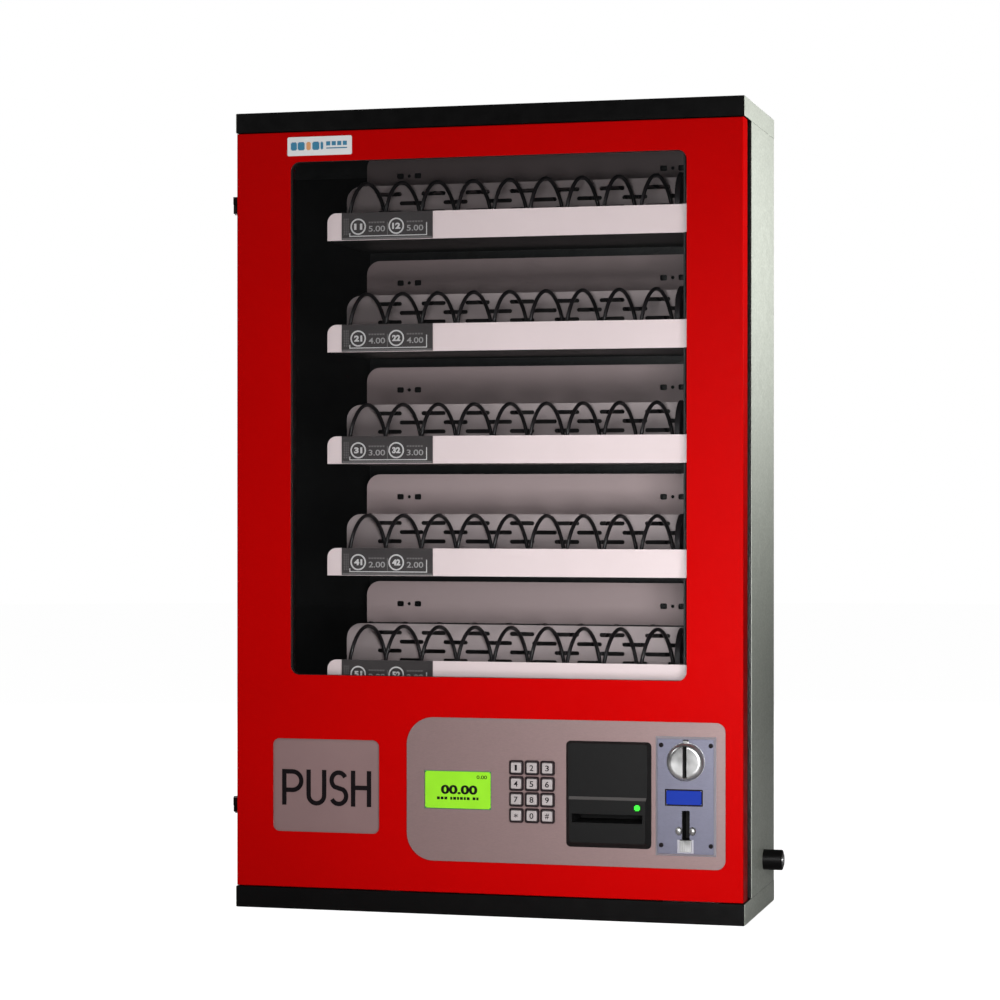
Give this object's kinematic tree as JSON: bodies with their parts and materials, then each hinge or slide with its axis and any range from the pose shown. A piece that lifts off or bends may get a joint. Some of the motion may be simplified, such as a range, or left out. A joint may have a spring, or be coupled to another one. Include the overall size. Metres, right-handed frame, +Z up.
{
  "type": "snack vending machine",
  "caption": "Slim wall-hung snack vending machine: glazed hinged door, sideways spiral shelves, keypad, note and coin units, push flap over a delivery bin.",
  "frame": {"origin": "centre of the four wall-bolt holes, on the cabinet's back face", "axes": "+X to the right seen from the front, -Y out of the front, +Y into the wall, +Z up"},
  "size_m": [0.6012, 0.2115, 0.88],
  "materials": {
    "shell_paint": "hammertone enamel",
    "black_paint": "satin black powder coat",
    "red_paint": "gloss red powder coat",
    "white_paint": "satin white powder coat",
    "grey_paint": "satin grey powder coat",
    "panel_grey": "satin grey-pink paint",
    "spiral_wire": "black coated wire",
    "steel": "satin",
    "coin_metal": "blue-grey satin",
    "knob_chrome": "polished",
    "black_plastic": "fine moulded texture",
    "key_grey": "satin",
    "flap_grey": "satin",
    "label": "dark printed strip",
    "board": "circuit board",
    "display": "lit green",
    "rubber": "matte",
    "pane": "clear",
    "motor": "moulded gearbox"
  },
  "bodies": {
    "cabinet": {"cabinet_shell": "shell_paint", "top_cap": "black_paint", "base_cap": "black_paint", "front_frame": "black_paint", "motor_panel": "white_paint", "spiral_motors": "motor", "tray_1": "white_paint", "tray_2": "white_paint", "tray_3": "white_paint", "tray_4": "white_paint", "tray_5": "white_paint", "lane_dividers": "grey_paint", "price_labels": "label", "drop_chute": "black_paint", "delivery_bin": "black_plastic", "coin_box": "steel", "controller_board": "board", "power_supply": "steel", "power_inlet": "black_plastic", "hinge_leaves_cabinet": "black_paint", "hinge_pins": "steel", "lock_barrel": "black_paint"},
    "door": {"door_shell": "red_paint", "window_gasket": "rubber", "window_glass": "pane", "control_panel": "panel_grey", "lcd_module": "display", "key_bezels": "black_plastic", "bill_bezel": "black_plastic", "bill_validator": "black_plastic", "coin_plate": "coin_metal", "coin_validator": "black_plastic", "hinge_leaves_door": "black_paint", "lock_strike": "steel"},
    "flap": {"push_flap": "flap_grey"},
    "lock_rotor": {"lock_plug": "knob_chrome", "lock_cam": "steel"},
    "coin_reject": {"coin_button": "knob_chrome"},
    "key_1": {"key_1": "key_grey"},
    "key_2": {"key_2": "key_grey"},
    "key_3": {"key_3": "key_grey"},
    "key_4": {"key_4": "key_grey"},
    "key_5": {"key_5": "key_grey"},
    "key_6": {"key_6": "key_grey"},
    "key_7": {"key_7": "key_grey"},
    "key_8": {"key_8": "key_grey"},
    "key_9": {"key_9": "key_grey"},
    "key_star": {"key_star": "key_grey"},
    "key_0": {"key_0": "key_grey"},
    "key_hash": {"key_hash": "key_grey"},
    "spiral_11": {"spiral_11": "spiral_wire"},
    "spiral_12": {"spiral_12": "spiral_wire"},
    "spiral_21": {"spiral_21": "spiral_wire"},
    "spiral_22": {"spiral_22": "spiral_wire"},
    "spiral_31": {"spiral_31": "spiral_wire"},
    "spiral_32": {"spiral_32": "spiral_wire"},
    "spiral_41": {"spiral_41": "spiral_wire"},
    "spiral_42": {"spiral_42": "spiral_wire"},
    "spiral_51": {"spiral_51": "spiral_wire"},
    "spiral_52": {"spiral_52": "spiral_wire"}
  },
  "joints": [
    {"name": "door_hinge", "type": "hinge", "parent": "cabinet", "child": "door", "pos_m": [-0.2894, -0.182, 0], "axis": [0, 0, -1], "range_deg": [0, 120]},
    {"name": "flap_hinge", "type": "hinge", "parent": "door", "child": "flap", "pos_m": [-0.1805, -0.194, -0.248], "axis": [1, 0, 0], "range_deg": [0, 65]},
    {"name": "lock_turn", "type": "hinge", "parent": "cabinet", "child": "lock_rotor", "pos_m": [0.296, -0.07, -0.3854], "axis": [1, 0, 0], "range_deg": [0, 90]},
    {"name": "coin_reject_press", "type": "slide", "parent": "door", "child": "coin_reject", "axis": [0, 1, 0], "range_m": [0, 0.003], "stiffness_N_per_m": 600, "springref_m": -0.003},
    {"name": "key_1_press", "type": "slide", "parent": "door", "child": "key_1", "axis": [0, 1, 0], "range_m": [0, 0.0015], "stiffness_N_per_m": 400, "springref_m": -0.001},
    {"name": "key_2_press", "type": "slide", "parent": "door", "child": "key_2", "axis": [0, 1, 0], "range_m": [0, 0.0015], "stiffness_N_per_m": 400, "springref_m": -0.001},
    {"name": "key_3_press", "type": "slide", "parent": "door", "child": "key_3", "axis": [0, 1, 0], "range_m": [0, 0.0015], "stiffness_N_per_m": 400, "springref_m": -0.001},
    {"name": "key_4_press", "type": "slide", "parent": "door", "child": "key_4", "axis": [0, 1, 0], "range_m": [0, 0.0015], "stiffness_N_per_m": 400, "springref_m": -0.001},
    {"name": "key_5_press", "type": "slide", "parent": "door", "child": "key_5", "axis": [0, 1, 0], "range_m": [0, 0.0015], "stiffness_N_per_m": 400, "springref_m": -0.001},
    {"name": "key_6_press", "type": "slide", "parent": "door", "child": "key_6", "axis": [0, 1, 0], "range_m": [0, 0.0015], "stiffness_N_per_m": 400, "springref_m": -0.001},
    {"name": "key_7_press", "type": "slide", "parent": "door", "child": "key_7", "axis": [0, 1, 0], "range_m": [0, 0.0015], "stiffness_N_per_m": 400, "springref_m": -0.001},
    {"name": "key_8_press", "type": "slide", "parent": "door", "child": "key_8", "axis": [0, 1, 0], "range_m": [0, 0.0015], "stiffness_N_per_m": 400, "springref_m": -0.001},
    {"name": "key_9_press", "type": "slide", "parent": "door", "child": "key_9", "axis": [0, 1, 0], "range_m": [0, 0.0015], "stiffness_N_per_m": 400, "springref_m": -0.001},
    {"name": "key_star_press", "type": "slide", "parent": "door", "child": "key_star", "axis": [0, 1, 0], "range_m": [0, 0.0015], "stiffness_N_per_m": 400, "springref_m": -0.001},
    {"name": "key_0_press", "type": "slide", "parent": "door", "child": "key_0", "axis": [0, 1, 0], "range_m": [0, 0.0015], "stiffness_N_per_m": 400, "springref_m": -0.001},
    {"name": "key_hash_press", "type": "slide", "parent": "door", "child": "key_hash", "axis": [0, 1, 0], "range_m": [0, 0.0015], "stiffness_N_per_m": 400, "springref_m": -0.001},
    {"name": "spiral_11_turn", "type": "hinge", "parent": "cabinet", "child": "spiral_11", "pos_m": [0.203, -0.132, 0.3354], "axis": [-1, 0, 0], "continuous": true},
    {"name": "spiral_12_turn", "type": "hinge", "parent": "cabinet", "child": "spiral_12", "pos_m": [0.203, -0.0579, 0.3354], "axis": [-1, 0, 0], "continuous": true},
    {"name": "spiral_21_turn", "type": "hinge", "parent": "cabinet", "child": "spiral_21", "pos_m": [0.203, -0.132, 0.2114], "axis": [-1, 0, 0], "continuous": true},
    {"name": "spiral_22_turn", "type": "hinge", "parent": "cabinet", "child": "spiral_22", "pos_m": [0.203, -0.0579, 0.2114], "axis": [-1, 0, 0], "continuous": true},
    {"name": "spiral_31_turn", "type": "hinge", "parent": "cabinet", "child": "spiral_31", "pos_m": [0.203, -0.132, 0.0874], "axis": [-1, 0, 0], "continuous": true},
    {"name": "spiral_32_turn", "type": "hinge", "parent": "cabinet", "child": "spiral_32", "pos_m": [0.203, -0.0579, 0.0874], "axis": [-1, 0, 0], "continuous": true},
    {"name": "spiral_41_turn", "type": "hinge", "parent": "cabinet", "child": "spiral_41", "pos_m": [0.203, -0.132, -0.0366], "axis": [-1, 0, 0], "continuous": true},
    {"name": "spiral_42_turn", "type": "hinge", "parent": "cabinet", "child": "spiral_42", "pos_m": [0.203, -0.0579, -0.0366], "axis": [-1, 0, 0], "continuous": true},
    {"name": "spiral_51_turn", "type": "hinge", "parent": "cabinet", "child": "spiral_51", "pos_m": [0.203, -0.132, -0.1606], "axis": [-1, 0, 0], "continuous": true},
    {"name": "spiral_52_turn", "type": "hinge", "parent": "cabinet", "child": "spiral_52", "pos_m": [0.203, -0.0579, -0.1606], "axis": [-1, 0, 0], "continuous": true}
  ]
}
